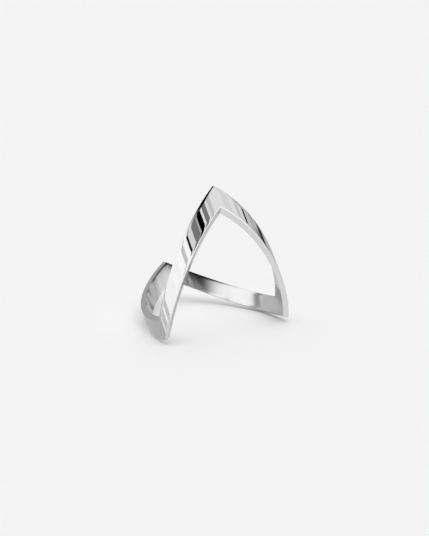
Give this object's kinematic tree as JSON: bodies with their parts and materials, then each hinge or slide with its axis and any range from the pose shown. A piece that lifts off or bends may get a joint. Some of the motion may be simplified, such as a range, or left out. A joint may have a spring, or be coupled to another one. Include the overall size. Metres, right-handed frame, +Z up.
{
  "type": "chevron ring",
  "caption": "Plain polished finger ring, a slim round-sleeve band that zigzags to a tall front point and a lower back point.",
  "frame": {"origin": "on the floor, under the middle of the bounding box of the ring as it rests by itself on its side corners and back arms", "axes": "X across the finger, -Y the side of the tall front point, +Z up; the finger's axis leans back 39.6 degrees from +Z towards +Y"},
  "size_m": [0.0186, 0.0176, 0.0187],
  "materials": {
    "white_gold": "polished"
  },
  "bodies": {
    "root": {"chevron_band": "white_gold"}
  },
  "joints": []
}
